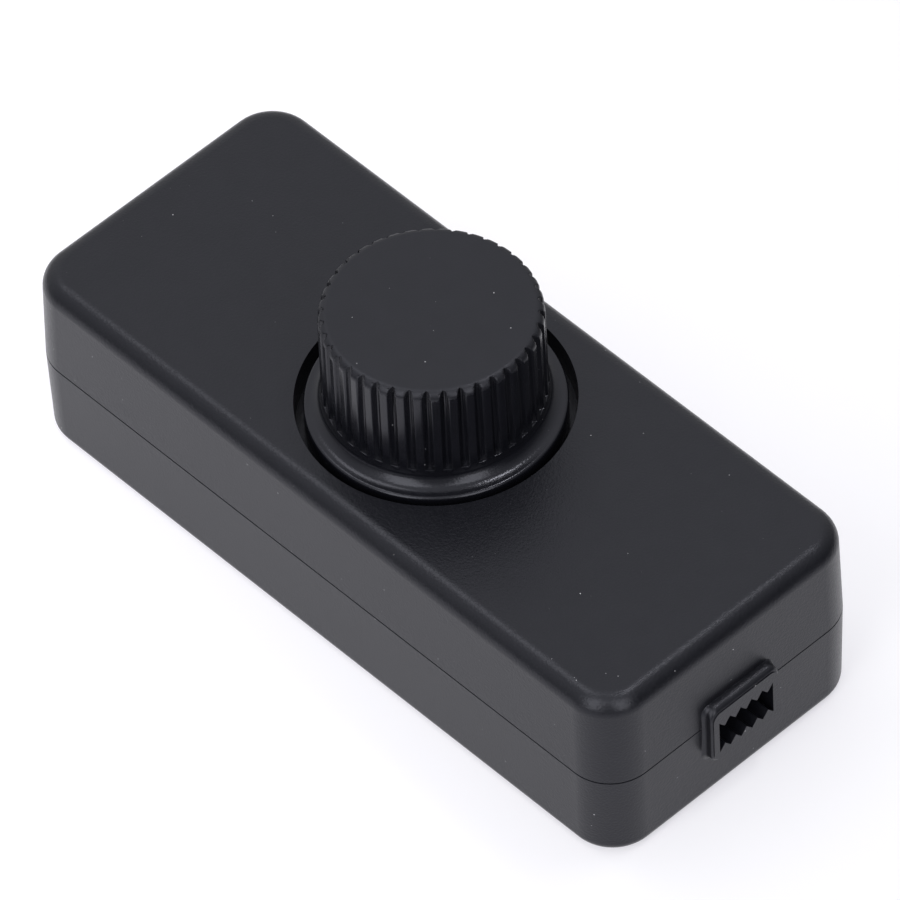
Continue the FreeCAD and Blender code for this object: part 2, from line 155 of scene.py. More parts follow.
def combine(piece, tools, how):
    """Adds tool shapes to a piece ("UNION") or cuts them out of it ("DIFFERENCE"), and throws them away."""
    for tool in tools:
        select_only(piece)
        bpy.ops.object.modifier_add(type="BOOLEAN")
        boolean = piece.modifiers[-1]
        boolean.operation = how
        boolean.solver = "MANIFOLD"
        boolean.object = tool
        bpy.ops.object.modifier_apply(modifier=boolean.name)
        bpy.data.objects.remove(tool, do_unlink=True)


def copy_turned(piece, angle):
    """A copy with its own mesh, turned about the Z axis of the frame."""
    select_only(piece)
    bpy.ops.object.duplicate()
    bpy.ops.transform.rotate(value=angle, orient_axis="Z", center_override=(0, 0, 0))
    return settle(piece.name)


def both_ends(piece):
    """A shape at the +X end and its copy at the -X end."""
    return [piece, copy_turned(piece, math.pi)]


def tidy_faces(piece, smooth_degrees=35):
    """Merges doubles, smooths what is round and keeps wide faces flat right up to their edges."""
    pick(piece, "VERT", everything)
    bpy.ops.mesh.remove_doubles(threshold=TOUCH)
    leave_edit()
    bpy.ops.object.shade_smooth_by_angle(angle=math.radians(smooth_degrees))
    bpy.ops.object.modifier_add(type="WEIGHTED_NORMAL")
    normals = piece.modifiers[-1]
    normals.keep_sharp = True
    bpy.ops.object.modifier_apply(modifier=normals.name)


def report(piece):
    """Prints a piece's triangles, its open edges (a closed form has none) and its size."""
    mesh = bmesh.new()
    mesh.from_mesh(piece.data)
    open_edges = sum(not edge.is_manifold for edge in mesh.edges)
    triangles = sum(len(face.verts) - 2 for face in mesh.faces)
    mesh.free()
    size = [round(x / MM, 2) for x in piece.dimensions]
    print(piece.name, triangles, "triangles,", open_edges, "open edges, size in mm", size)


print("tools for bevels, cuts and copies are ready")

# %% [markdown]
# ## The camera
#
# The object was seen from above one corner, through a long lens: parallel edges stay nearly parallel. The
# camera stands as far off as that, on a line given by its azimuth and elevation, and is rolled a little.
# A camera can be aimed with a constraint, but here its axes are worked out, so that its roll and the
# small sideways offset that centres the object are exact.

# %% Camera
sensor_width = 36.0
picture_width = 900
focal_pixels = 12486.8
azimuth = math.radians(48.551)
elevation = math.radians(49.026)
roll = math.radians(-3.169)
distance = 1271.505 * MM
aim = Vector((0, 0, 10 * MM))
offset_right = -0.956 * MM
offset_up = -3.281 * MM
view_reach = 100

back = Vector((
    math.sin(azimuth) * math.cos(elevation), -math.cos(azimuth) * math.cos(elevation), math.sin(elevation)))
level_right = Vector((0, 0, 1)).cross(back).normalized()
level_up = back.cross(level_right)
right = level_right * math.cos(roll) + level_up * math.sin(roll)
up = level_up * math.cos(roll) - level_right * math.sin(roll)

bpy.ops.object.select_all(action="DESELECT")
bpy.ops.object.camera_add(location=aim + back * distance - right * offset_right - up * offset_up)
camera = bpy.context.object
camera.name = "camera"
camera.rotation_euler = Matrix((right, up, back)).transposed().to_euler()
camera.data.sensor_width = sensor_width
camera.data.lens = sensor_width * focal_pixels / picture_width
camera.data.clip_end = view_reach
bpy.context.scene.camera = camera
print("camera: lens", round(camera.data.lens, 1), "mm,", round(distance, 3), "m away")

# %% [markdown]
# ## The upper shell
#
# The housing is moulded in two shells that meet at a thin seam. Each leans in a little from the seam, so
# that it leaves its mould, and has upright corners and a rounded outer edge. It could be drawn as a
# profile and extruded, but a cube with three bevels gives the same form in the order in which a modeller
# thinks of it: first the lean, then the corners, then the edge. A last small bevel breaks the edge at the
# seam.

# %% Outer block of a shell
case_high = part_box("upper_shell")[1]
inlet_projection = 1.25 * MM
end_x = case_high.x - inlet_projection
side_y = case_high.y
case_top = case_high.z
seam = 11.25 * MM
seam_gap = 0.12 * MM
draft = math.radians(1.05)
corner_radius = 5.0 * MM
corner_segments = 14
top_edge_radius = 2.1 * MM
edge_segments = 9
seam_break = 0.06 * MM


def case_block(name, z_edge, z_face, edge_radius):
    """One half of the housing as a solid block, from its edge at the seam to its outer face."""
    outward = math.copysign(1, z_face - z_edge)
    block = add_block(name, (-end_x, -side_y, min(z_edge, z_face)), (end_x, side_y, max(z_edge, z_face)))
    lean = abs(z_face - z_edge) * math.tan(draft)
    pick(block, "FACE", looks_along(2, outward))
    bpy.ops.transform.resize(value=(1 - lean / end_x, 1 - lean / side_y, 1))
    leave_edit()
    bevel_edges(block, corner_radius, corner_segments, runs_along(2))
    bevel_edges(block, edge_radius, edge_segments, lies_at(2, z_face))
    bevel_edges(block, seam_break, segments=2, test=lies_at(2, z_edge))
    return block


upper = case_block("top_housing", seam + seam_gap / 2, case_top, top_edge_radius)
report(upper)

# %% [markdown]
# ## Hollowing the shell and adding its supports
#
# Inside, the shell has walls of even thickness, four square posts that meet those of the lower shell,
# pins that hold the circuit board down and a cup under the well. Hardly any of this shows, but it gives the
# mesh the form of the real moulding. Solid cutters and additions do this quickly: each one reaches a little
# into what it joins, because faces that just touch are hard on a boolean. The Manifold solver asks for
# closed shapes, and gives the same mesh each time.

# %% Inside of the upper shell
wall = 2.0 * MM
roof = case_top - 2.0 * MM
bite = 0.5 * MM
post_size = 6.0 * MM
post_x, post_y = 35.5 * MM, 12.0 * MM
post_spots = [(x, y) for x in (-post_x, post_x) for y in (-post_y, post_y)]
screw_spots = [(post_x, post_y), (-post_x, -post_y)]
pin_size = 3.0 * MM
pin_x, pin_y = 28.0 * MM, 11.5 * MM
pin_spots = [(x, y) for x in (-pin_x, pin_x) for y in (-pin_y, pin_y)]
board_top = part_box("circuit_board")[1].z
pot_mount = 17.8 * MM
well_radius = 14.4 * MM
well_wall = 1.5 * MM
well_bed = 19.4 * MM


def case_hollow(z0, z1):
    """The space inside the walls, between two heights."""
    hollow = add_block("hollow", (wall - end_x, wall - side_y, z0), (end_x - wall, side_y - wall, z1))
    bevel_edges(hollow, corner_radius - wall, corner_segments, runs_along(2))
    return hollow


combine(upper, [case_hollow(seam - wall, roof)], "DIFFERENCE")
combine(upper, [add_rod("cup", well_radius + well_wall, pot_mount, roof + bite, sides=96)], "UNION")
for x, y in post_spots:
    combine(upper, [add_post("post", x, y, post_size, seam, roof + bite)], "UNION")
for x, y in pin_spots:
    combine(upper, [add_post("pin", x, y, pin_size, board_top, roof + bite)], "UNION")
report(upper)

# %% [markdown]
# ## The cord inlets
#
# At each end a boss stands out round a flat slot for the cord, half on each shell. It flares softly into
# the wall at its sides, its front edge is only just broken, and its brow is one long round. No single
# bevel does all of that, so its outline is extruded in short steps and set to a new width and height at
# each step. The flat plate round the slot then stands a hair prouder, which draws the thin dark line
# below the brow. The slot's roof and floor have five V teeth each, which bite the cord. The slot is cut
# with a toothed bar: a plane whose edge is subdivided, with every other new vertex moved in, then
# extruded along the cord.

# %% Boss and toothed bar
slot_width = 7.54 * MM
slot_roof = seam + 0.83 * MM
slot_floor = slot_roof - 4.5 * MM
tooth_count = 5
tooth_depth = 0.9 * MM
inlet_front = case_high.x
inlet_half = slot_width / 2 + 0.96 * MM
inlet_low = slot_floor - 1.18 * MM
inlet_high = slot_roof + 2.09 * MM
inlet_corner = 1.2 * MM
inlet_edge = 0.22 * MM
inlet_flare = 0.60 * MM
brow_drop = 0.60 * MM
brow_length = 0.95 * MM
plate_step = 0.12 * MM
boss_start = end_x - 0.1 * MM
boss_end = inlet_front - plate_step
boss_steps = [0.05, 0.13, 0.24, 0.36, 0.48, 0.6, 0.7, 0.8, 0.88, 0.95, 0.985, 1]
boss_gap = 0.02 * MM


def quarter(distance, reach, rise):
    """How far a quarter round has moved in, at a distance along its reach."""
    share = min(max(distance / reach, 0), 1)
    return rise * (1 - math.sqrt(1 - share ** 2))


def boss_outline(x):
    """Half width, low and high edge of the boss at a place along the cord."""
    flare = quarter(boss_start + inlet_flare - x, inlet_flare, inlet_flare)
    front = quarter(x - boss_end + inlet_edge, inlet_edge, inlet_edge)
    brow = quarter(x - boss_end + brow_length, brow_length, brow_drop)
    return inlet_half + flare - front, inlet_low - flare + front, inlet_high - brow


def inlet_boss(z_cut, keep_above):
    """The boss at the +X end, drawn out step by step and cut at a height."""
    half, low, high = boss_outline(boss_start)
    boss = add_block("boss", (end_x - wall / 2, -half, low), (boss_start, half, high))
    bevel_edges(boss, inlet_corner, segments=8, test=runs_along(0))
    pick(boss, "FACE", looks_along(0))
    x = boss_start
    for step in boss_steps:
        new_x = boss_start + step * (boss_end - boss_start)
        new_half, new_low, new_high = boss_outline(new_x)
        move = (new_x - x, 0, (new_low + new_high - low - high) / 2)
        bpy.ops.mesh.extrude_region_move(TRANSFORM_OT_translate={"value": move})
        bpy.ops.transform.resize(value=(1, new_half / half, (new_high - new_low) / (high - low)))
        x, half, low, high = new_x, new_half, new_low, new_high
    bpy.ops.mesh.extrude_region_move(TRANSFORM_OT_translate={"value": (plate_step, 0, 0)})
    bpy.ops.mesh.select_all(action="SELECT")
    bpy.ops.mesh.bisect(plane_co=(0, 0, z_cut), plane_no=(0, 0, 1), use_fill=True,
                        clear_inner=keep_above, clear_outer=not keep_above)
    bpy.ops.mesh.select_all(action="SELECT")
    bpy.ops.mesh.normals_make_consistent(inside=False)
    leave_edit()
    report(boss)
    return boss


def notch(bar, z, depth):
    """Turns the straight edge of a bar at one height into a row of V teeth."""
    pick(bar, "EDGE", lies_at(2, z))
    bpy.ops.mesh.subdivide(number_cuts=2 * tooth_count - 1)
    leave_edit()
    half_pitch = slot_width / (2 * tooth_count)

    def is_tip(vert):
        step = round((vert.co.y + slot_width / 2) / half_pitch)
        return abs(vert.co.z - z) < TOUCH and step % 2 == 1

    pick(bar, "VERT", is_tip)
    bpy.ops.transform.translate(value=(0, 0, depth))
    leave_edit()


def slot_bar(z_roof, toothed_roof):
    """A bar that cuts the cord slot at the +X end, toothed along its floor and, if asked, its roof."""
    start = end_x - 2 * wall
    bpy.ops.object.select_all(action="DESELECT")
    bpy.ops.mesh.primitive_plane_add(size=1, location=(start, 0, (slot_floor + z_roof) / 2),
                                     rotation=(0, math.pi / 2, 0))
    bar = settle("slot")
    pick(bar, "VERT", everything)
    bpy.ops.transform.resize(value=(1, slot_width, z_roof - slot_floor))
    leave_edit()
    notch(bar, slot_floor, tooth_depth)
    if toothed_roof:
        notch(bar, z_roof, -tooth_depth)
    pick(bar, "FACE", everything)
    bpy.ops.mesh.extrude_region_move(TRANSFORM_OT_translate={"value": (3 * wall + inlet_projection, 0, 0)})
    bpy.ops.mesh.select_all(action="SELECT")
    bpy.ops.mesh.normals_make_consistent(inside=False)
    leave_edit()
    return bar


print("slot", round(slot_width / MM, 2), "by", round((slot_roof - slot_floor) / MM, 2), "mm,",
      tooth_count, "teeth above and below")

# %% Inlets of the upper shell
clear = 0.03 * MM
bed_half = slot_width / 2 - clear
hood = inlet_boss(seam + boss_gap / 2, keep_above=True)
tooth_bed = add_block("tooth_bed", (end_x - wall / 2 + clear, -bed_half, slot_roof - tooth_depth + clear),
                      (inlet_front - clear, bed_half, slot_roof + bite))
combine(hood, [tooth_bed], "UNION")
combine(upper, both_ends(hood), "UNION")
combine(upper, both_ends(slot_bar(slot_roof, toothed_roof=True)), "DIFFERENCE")
report(upper)

# %% [markdown]
# ## The well and the holes
#
# The knob's skirt stands in a round well, whose rim is a crisp moulded edge with a tiny round. The well,
# the hole for the potentiometer's neck, its key pocket, the pilot holes and the grooves for the lower
# shell's tongues are all cut now. The well's cutter is a section spun about the axis: its top flares out,
# and that flare is what rounds the rim. A little of the round is left out, so that it crosses the face
# and doesn't just touch it.


# %% Section and spin tools
def draw_line(name, points):
    """Edges from point to point, drawn out from a single vertex."""
    bpy.ops.object.select_all(action="DESELECT")
    bpy.ops.mesh.primitive_plane_add(size=MM)
    line = settle(name)
    pick(line, "VERT", everything)
    bpy.ops.mesh.merge(type="CENTER")
    places = [Vector(point) for point in points]
    bpy.ops.transform.translate(value=places[0])
    for before, after in zip(places, places[1:]):
        bpy.ops.mesh.extrude_region_move(TRANSFORM_OT_translate={"value": after - before})
    leave_edit()
    return line


def spin_section(name, points, steps):
    """A solid turned about the Z axis from a section that starts and ends on it."""
    solid = draw_line(name, [(radius, 0, z) for radius, z in points])
    pick(solid, "VERT", everything)
    bpy.ops.mesh.spin(steps=steps, angle=2 * math.pi, center=(0, 0, 0), axis=(0, 0, 1))
    bpy.ops.mesh.select_all(action="SELECT")
    bpy.ops.mesh.remove_doubles(threshold=TOUCH)
    bpy.ops.mesh.normals_make_consistent(inside=False)
    leave_edit()
    return solid


def round_points(centre, width, height, start_degrees, end_degrees, steps):
    """Points along a quarter round, as radius and z."""
    points = []
    for i in range(steps + 1):
        angle = math.radians(start_degrees + (end_degrees - start_degrees) * i / steps)
        points.append((centre[0] + width * math.cos(angle), centre[1] + height * math.sin(angle)))
    return points


print("tools for sections and spins are ready")

# %% Well, holes and grooves of the upper shell
rim_round = 0.08 * MM
rim_share = 0.9
neck_hole_radius = 3.6 * MM
pilot_radius = 1.45 * MM
pilot_top = 19.0 * MM
key_low = (5.8 * MM, -1.3 * MM, pot_mount - bite)
key_high = (7.2 * MM, 1.3 * MM, pot_mount + 1.1 * MM)
lip_length = 56.0 * MM
lip_height = 1.4 * MM
lip_thickness = 0.8 * MM
lip_middle = side_y - wall + 0.2 * MM + lip_thickness / 2
lip_clearance = 0.1 * MM

flare = (well_radius + rim_round, case_top - rim_share * rim_round)
well_points = [(0, well_bed), (well_radius, well_bed)]
well_points += round_points(flare, rim_round, rim_round, 180, 90, steps=4)
well_points += [(well_radius + rim_round, case_top + bite), (0, case_top + bite)]
well = spin_section("well", well_points, steps=144)


def lip_bar(side, clearance):
    """A tongue along one long wall at the seam, or with a clearance the groove that it goes into."""
    half_length = lip_length / 2 + clearance
    half_width = lip_thickness / 2 + clearance
    low = seam - seam_gap / 2 - bite
    return add_block("lip", (-half_length, side * lip_middle - half_width, low),
                     (half_length, side * lip_middle + half_width, seam + lip_height + clearance))


combine(upper, [well], "DIFFERENCE")
combine(upper, [add_rod("neck_hole", neck_hole_radius, pot_mount - bite, well_bed + bite)], "DIFFERENCE")
combine(upper, [add_block("key_pocket", key_low, key_high)], "DIFFERENCE")
for x, y in screw_spots:
    combine(upper, [add_rod("pilot", pilot_radius, seam - bite, pilot_top, x, y, sides=32)], "DIFFERENCE")
combine(upper, [lip_bar(side, lip_clearance) for side in (-1, 1)], "DIFFERENCE")
tidy_faces(upper)
report(upper)

# %% [markdown]
# ## The lower shell
#
# The lower half is made in the same way, upside down: the block's rounded edge is at the base, and the
# slot is open at the top, because the upper shell closes it. The base has two deep round recesses for the
# case screws. Their mouths are broken by a small flare, as the mould's own edge would leave them.

# %% Lower shell
lower_edge = seam - seam_gap / 2
floor_top = 2.0 * MM
board_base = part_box("circuit_board")[0].z
standoff_size = 4.0 * MM
base_edge_radius = 1.4 * MM
screw_seat = 5.0 * MM
recess_radius = 2.7 * MM
shank_hole_radius = 1.6 * MM
recess_round = 0.2 * MM
mouth_share = 0.85

lower = case_block("bottom_housing", lower_edge, 0, base_edge_radius)
combine(lower, [case_hollow(floor_top, seam + wall)], "DIFFERENCE")
for x, y in post_spots:
    combine(lower, [add_post("post", x, y, post_size, floor_top - bite, seam)], "UNION")
for x, y in pin_spots:
    combine(lower, [add_post("standoff", x, y, standoff_size, floor_top - bite, board_base)], "UNION")
combine(lower, [lip_bar(side, 0) for side in (-1, 1)], "UNION")
combine(lower, both_ends(inlet_boss(seam - boss_gap / 2, keep_above=False)), "UNION")
combine(lower, both_ends(slot_bar(seam + wall, toothed_roof=False)), "DIFFERENCE")

mouth = (recess_radius + recess_round, mouth_share * recess_round)
recess_points = [(0, -bite), (mouth[0], -bite)]
recess_points += round_points(mouth, recess_round, recess_round, 270, 180, steps=4)
recess_points += [(recess_radius, screw_seat), (0, screw_seat)]
for x, y in screw_spots:
    recess = spin_section("recess", recess_points, steps=48)
    select_only(recess)
    bpy.ops.transform.translate(value=(x, y, 0))
    bpy.ops.object.transform_apply(location=True, rotation=True, scale=True)
    combine(lower, [recess], "DIFFERENCE")
    shank_hole = add_rod("shank_hole", shank_hole_radius, floor_top, seam + bite, x, y, sides=32)
    combine(lower, [shank_hole], "DIFFERENCE")
tidy_faces(lower)
report(lower)

# %% [markdown]
# ## The knob
#
# The knob is one moulding: a skirt with a rounded rim, a hollow flare and a slightly tapered grip with
# forty V flutes. The plain form is a turned one, so its section is spun. The flutes could be pushed into
# the surface vertex by vertex, but the mould cuts them as straight grooves that run out through the
# rounded top edge in small pointed arches, and only a real cut gives those arches. One groove is drawn as
# a section with soft shoulders, extruded, and made deeper at its top. It is spun into forty, and after
# the cut a bevel softens the edges that are still sharp.

# %% Turned body of the knob
knob_low, knob_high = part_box("knob")
knob_top = knob_high.z
knob_base = knob_low.z
flange_radius = knob_high.x
grip_radius = flange_radius - 1.92 * MM
grip_top_radius = grip_radius - 0.07 * MM
grip_edge = 1.0 * MM
rim_radius = 0.36 * MM
flange_top = case_top - 0.05 * MM
flare_width = flange_radius - rim_radius - grip_radius
flare_height = 1.5 * MM
flute_count = 40
steps_per_flute = 6

rim = (flange_radius - rim_radius, flange_top - rim_radius)
flare = (flange_radius - rim_radius, flange_top + flare_height)
edge = (grip_top_radius - grip_edge, knob_top - grip_edge)
knob_points = [(0, knob_base), (flange_radius, knob_base)]
knob_points += round_points(rim, rim_radius, rim_radius, 0, 90, steps=6)
knob_points += round_points(flare, flare_width, flare_height, 270, 180, steps=10)[1:]
knob_points += round_points(edge, grip_edge, grip_edge, 0, 90, steps=9)
knob_points.append((0, knob_top))
knob = spin_section("fluted_knob", knob_points, flute_count * steps_per_flute)
report(knob)

# %% Flutes
flute_depth = 0.40 * MM
flute_top_depth = 0.70 * MM
flute_start = math.radians(-1.3)
foot_rise = 0.6 * MM
flute_break = 0.06 * MM
sharp_from = math.radians(30)
flute_base = flange_top + flare_height + foot_rise
flute_profile = [(-0.4, 0.80), (0, 0.60), (0.09, 0.49), (0.30, 0.38), (0.60, 0.28), (0.87, 0.16), (1, 0)]
flute_profile += [(depth, -half) for depth, half in reversed(flute_profile[:-1])]

flutes = draw_line("flutes", [(grip_radius - depth * flute_depth, half * MM, flute_base)
                              for depth, half in flute_profile])
pick(flutes, "VERT", everything)
bpy.ops.mesh.edge_face_add()
bpy.ops.mesh.extrude_region_move(TRANSFORM_OT_translate={"value": (0, 0, knob_top + bite - flute_base)})
leave_edit()
pick(flutes, "VERT", lambda vert: vert.co.z > knob_top)
bpy.ops.transform.resize(value=(flute_top_depth / flute_depth, 1, 1), center_override=(grip_radius, 0, 0))
bpy.ops.transform.translate(value=(grip_top_radius - grip_radius, 0, 0))
bpy.ops.mesh.select_all(action="SELECT")
bpy.ops.mesh.normals_make_consistent(inside=False)
bpy.ops.transform.rotate(value=-flute_start, orient_axis="Z", center_override=(0, 0, 0))
turn = 2 * math.pi * (flute_count - 1) / flute_count
bpy.ops.mesh.spin(steps=flute_count - 1, dupli=True, angle=turn, center=(0, 0, 0), axis=(0, 0, 1))
leave_edit()
combine(knob, [flutes], "DIFFERENCE")

select_only(knob)
bpy.ops.object.modifier_add(type="BEVEL")
soften = knob.modifiers[-1]
soften.width = flute_break
soften.segments = 2
soften.limit_method = "ANGLE"
soften.angle_limit = sharp_from
soften.use_clamp_overlap = False
bpy.ops.object.modifier_apply(modifier=soften.name)
report(knob)

# %% [markdown]
# ## Inside the knob
#
# Below, the knob is hollow, with a hub on four ribs and a D-shaped hole that takes the potentiometer's
# shaft. These are plain cuts and additions, made after the bevel so that it has only the outside to
# soften.

# %% Hollow, hub and ribs
knob_wall = 1.6 * MM
ceiling = knob_top - 2.0 * MM
hub_radius = 5.0 * MM
hub_base = 24.2 * MM
rib_thickness = 1.2 * MM
rib_count = 4
bore_radius = 3.05 * MM
bore_flat = 1.55 * MM
thinner = 0.1 * MM
hollow_radius = grip_radius - flute_top_depth - knob_wall + thinner

combine(knob, [add_rod("hollow", hollow_radius, knob_base - bite, ceiling, sides=120)], "DIFFERENCE")
skirt_hollow = add_rod("skirt_hollow", flange_radius - knob_wall, knob_base - bite, flange_top - knob_wall,
                       sides=120)
combine(knob, [skirt_hollow], "DIFFERENCE")
combine(knob, [add_rod("hub", hub_radius, hub_base, ceiling + bite)], "UNION")
rib = add_block("rib", (0, -rib_thickness / 2, hub_base),
                (hollow_radius + bite, rib_thickness / 2, ceiling + bite))
for i in range(rib_count):
    combine(knob, [copy_turned(rib, 2 * math.pi * (i + 0.5) / rib_count)], "UNION")
bpy.data.objects.remove(rib, do_unlink=True)
bore = add_rod("bore", bore_radius, hub_base - bite, ceiling)
flat = add_block("flat", (bore_flat, -hub_radius, hub_base - wall), (hub_radius, hub_radius, knob_top))
combine(bore, [flat], "DIFFERENCE")
combine(knob, [bore], "DIFFERENCE")
tidy_faces(knob)
report(knob)

# %% [markdown]
# ## Case screws
#
# Two self-tapping screws pull the shells together from below: a pan head with a cross recess, and a shank
# whose thread bites into the upper shell. A head could be a turned solid with two bars cut out, and that
# is what is done here. The thread is made of turned rings rather than a true helix: at this pitch the two
# look the same, and rings close up cleanly.

# %% One screw and its copy
head_radius = 2.4 * MM
head_base = 3.2 * MM
head_round = 0.9 * MM
shank_radius = 1.4 * MM
core_radius = shank_radius - 0.25 * MM
tip_radius = 0.7 * shank_radius
thread_pitch = 0.7 * MM
groove_from, groove_to, crest_from = 0.2, 0.5, 0.8
thread_from = seam
shank_end = 18.0 * MM
recess_arm = 2.6 * MM
recess_bar = 0.75 * MM
recess_deep = 1.1 * MM
recess_taper = 0.62

shoulder = (head_radius - head_round, head_base + head_round)
screw_points = [(0, head_base)]
screw_points += round_points(shoulder, head_round, head_round, 270, 360, steps=6)
screw_points += [(head_radius, screw_seat), (shank_radius, screw_seat), (shank_radius, thread_from)]
z = thread_from
while z + thread_pitch < shank_end - thread_pitch:
    screw_points += [(core_radius, z + groove_from * thread_pitch),
                     (core_radius, z + groove_to * thread_pitch),
                     (shank_radius, z + crest_from * thread_pitch), (shank_radius, z + thread_pitch)]
    z += thread_pitch
screw_points += [(core_radius, z + groove_from * thread_pitch), (tip_radius, shank_end), (0, shank_end)]
screw = spin_section("case_screw", screw_points, steps=32)
for along_x, along_y in ((recess_arm, recess_bar), (recess_bar, recess_arm)):
    bar = add_block("driver_bar", (-along_x / 2, -along_y / 2, head_base - bite),
                    (along_x / 2, along_y / 2, head_base + recess_deep))
    pick(bar, "FACE", looks_along(2))
    bpy.ops.transform.resize(value=(recess_taper, recess_taper, 1))
    leave_edit()
    combine(screw, [bar], "DIFFERENCE")

select_only(screw)
bpy.ops.object.duplicate()
second_screw = bpy.context.object
for piece, (x, y) in ((screw, screw_spots[0]), (second_screw, screw_spots[1])):
    select_only(piece)
    bpy.ops.transform.translate(value=(x, y, 0))
    bpy.ops.object.transform_apply(location=True, rotation=True, scale=True)
select_only(screw)
second_screw.select_set(True)
bpy.ops.object.join()
screw.name = "closing_screws"
tidy_faces(screw)
report(screw)

# %% [markdown]
# ## Node trees
#
# Floor, room and finishes are all node trees. By hand, a node is added from a menu, its fields are set
# and its sockets are joined with the mouse. These functions do the same: each adds a node, sets its
# fields, and joins or fills its sockets.


# %% Tools for node trees
def add_node(tree, kind, links=(), **settings):
    """A node with some settings, and links or values for its input sockets, given by name or number."""
    node = tree.nodes.new("ShaderNode" + kind)
    for setting, value in settings.items():
        setattr(node, setting, value)
    for socket, source in dict(links).items():
        if isinstance(source, bpy.types.NodeSocket):
            tree.links.new(source, node.inputs[socket])
        else:
            node.inputs[socket].default_value = source
    return node


def calculate(tree, operation, first, second):
    """The result of a Math node, such as "ADD" or "MULTIPLY", for two values."""
    return add_node(tree, "Math", {0: first, 1: second}, operation=operation).outputs[0]


def span(tree, value, low, high, from_low=0.0, from_high=1.0, way="LINEAR"):
    """Maps a value from one range to another."""
    node = add_node(tree, "MapRange", {"Value": value, "From Min": from_low, "From Max": from_high,
                                       "To Min": low, "To Max": high}, interpolation_type=way)
    return node.outputs["Result"]


def blend_colours(tree, mask, first, second):
    """A colour that goes from the first to the second as a mask goes from 0 to 1."""
    colours = [(*colour, 1) if isinstance(colour, tuple) else colour for colour in (first, second)]
    node = add_node(tree, "Mix", {0: mask, 6: colours[0], 7: colours[1]}, data_type="RGBA")
    return node.outputs[2]


print("tools for node trees are ready")

# %% [markdown]
# ## Floor
#
# The dimmer lies on a plain white floor. Paint alone would look grey wherever the lamps are weak, so most
# of the floor glows by itself for the rays that the camera and the glossy surfaces send out. The rest
# stays paint, which keeps the soft shadow round the housing. The glow is a painted pool of light: strongest
# on the left, still white round the object, and dimmer further off, where the paint's colour is painted
# darker too, so that the rounded edges have something dark to mirror. The camera itself sees no end of the
# pool: for its rays the floor goes on as it is round the object.

# %% White floor
floor_size = 12.0
floor_drop = 0.01 * MM
bpy.ops.object.select_all(action="DESELECT")
bpy.ops.mesh.primitive_plane_add(size=floor_size, location=(0, 0, -floor_drop))
floor = settle("floor")
print("floor:", floor_size, "m across")

# %% Paint and glow of the floor
glow_share = 0.55
glow_colour = (1.0, 0.985, 1.06, 1)
paint_white = 0.9
pool_centre = Vector((-70 * MM, -35 * MM, 0))
pool_slope = {"low": 1.24, "high": 0.86, "from_low": 20 * MM, "from_high": 140 * MM}
pool_end = {"low": 1.0, "high": 0.2, "from_low": 150 * MM, "from_high": 230 * MM}

floor_paint = bpy.data.materials.new("white_floor")
floor_paint.use_nodes = True
tree = floor_paint.node_tree
tree.nodes.clear()
rays = add_node(tree, "LightPath").outputs
place = add_node(tree, "TexCoord").outputs["Object"]
away = add_node(tree, "VectorMath", {0: place, 1: pool_centre}, operation="DISTANCE").outputs["Value"]
# painted pool of light: the glow, and the paint's colour for all but camera rays, fall off away from
# pool_centre
slope = span(tree, away, **pool_slope)
fall = span(tree, away, **pool_end, way="SMOOTHSTEP")
seen = calculate(tree, "MAXIMUM", fall, rays["Is Camera Ray"])
paint = add_node(tree, "BsdfDiffuse", {"Color": calculate(tree, "MULTIPLY", seen, paint_white)})
glow_strength = calculate(tree, "MULTIPLY", slope, seen)
glow = add_node(tree, "Emission", {"Color": glow_colour, "Strength": glow_strength})
either = calculate(tree, "MAXIMUM", rays["Is Camera Ray"], rays["Is Glossy Ray"])
any_of_three = calculate(tree, "MAXIMUM", either, rays["Is Transmission Ray"])
share = calculate(tree, "MULTIPLY", any_of_three, glow_share)
surface = add_node(tree, "MixShader", {0: share, 1: paint.outputs[0], 2: glow.outputs[0]})
add_node(tree, "OutputMaterial", {"Surface": surface.outputs[0]})
floor.data.materials.append(floor_paint)
print("floor:", glow_share, "of what the camera sees of it glows")

# %% [markdown]
# ## Light
#
# Dark plastic is mostly a mirror for what is round it: its top shows the sky behind, its sides show the
# floor, and its rounded edges show the whole room squeezed into a thin line. The top is evenly grey, so
# the sky behind it on the left is evenly bright. The corner that faces the camera has no dark band, so
# the front of the room is bright too, while both long edges have such a band. So the world is a slope of
# light with a broad paler area in front, and two tall panels stand there left and right of the camera,
# which show in the knob's hollow flare. A soft box on the left puts the line on the near edge, and a
# small lamp behind puts the streak on the knob's skirt.

# %% Room
slope_low = 0.08
slope_high = 1.05
slope_direction = Vector((-0.6, 0.2, 0.77)).normalized()
slope_reach = (-0.2, 1.0)
front_light = 0.35
front_direction = Vector((0.60, -0.66, 0.45)).normalized()
front_reach = (0.48, 0.62)
room_colour = (0.98, 0.985, 1.0, 1)

world = bpy.data.worlds.new("studio")
bpy.context.scene.world = world
world.use_nodes = True
tree = world.node_tree
background = tree.nodes["Background"]
looking = add_node(tree, "TexCoord").outputs["Generated"]
lights = []
for direction, reach, low, high in ((slope_direction, slope_reach, slope_low, slope_high),
                                    (front_direction, front_reach, 0, front_light)):
    toward = add_node(tree, "VectorMath", {0: looking, 1: direction}, operation="DOT_PRODUCT")
    lights.append(span(tree, toward.outputs["Value"], low, high, *reach))
background.inputs["Color"].default_value = room_colour
tree.links.new(calculate(tree, "ADD", *lights), background.inputs["Strength"])
print("room: strength", slope_low, "to", slope_high, "and", front_light, "more in front")

# %% Lamps
lamp_distance = 0.8
upright = (0, 0, 1)


